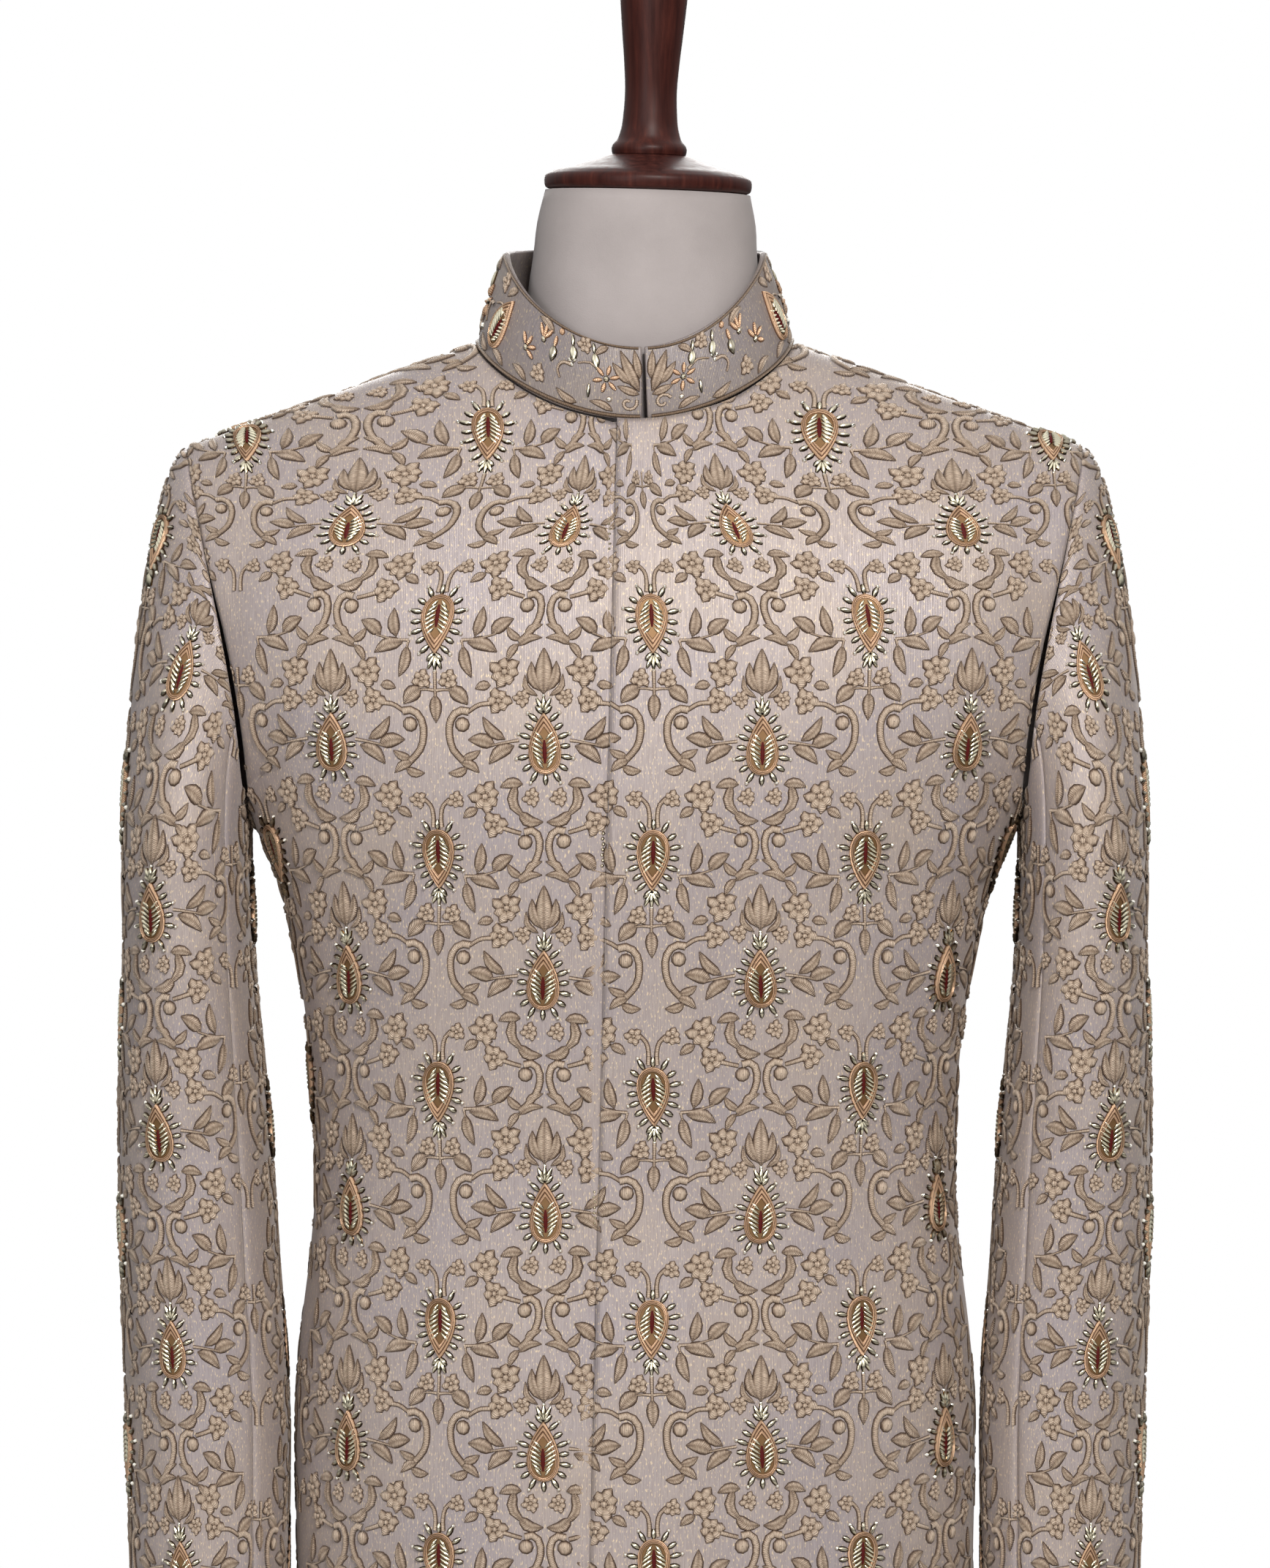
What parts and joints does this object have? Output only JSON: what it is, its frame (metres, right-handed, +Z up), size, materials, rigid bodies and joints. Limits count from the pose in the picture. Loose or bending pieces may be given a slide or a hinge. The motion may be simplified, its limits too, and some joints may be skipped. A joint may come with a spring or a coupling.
{
  "type": "sherwani coat on dress form",
  "caption": "Knee-length band-collar sherwani coat with lapped front, side slits and raised medallions, hung on a limbless dress form with a wooden cap, pole and round base.",
  "frame": {"origin": "on the floor, under the middle of the round base", "axes": "+Z up, -Y is the coat's front, +X is the wearer's left"},
  "size_m": [0.5378, 0.38, 1.7252],
  "materials": {
    "coat_silk": "silver-lilac silk with a gold shimmer, under taupe and gold embroidery",
    "form_cloth": "matte ivory cloth",
    "dark_wood": "satin dark red-brown wood"
  },
  "bodies": {
    "root": {"front_left": "coat_silk", "front_right": "coat_silk", "back_left": "coat_silk", "back_right": "coat_silk", "sleeve_left_top": "coat_silk", "sleeve_left_under": "coat_silk", "sleeve_right_top": "coat_silk", "sleeve_right_under": "coat_silk", "collar": "coat_silk", "dress_form": "form_cloth", "neck_cap": "dark_wood", "finial": "dark_wood", "pole": "dark_wood", "stand_base": "dark_wood"}
  },
  "joints": []
}
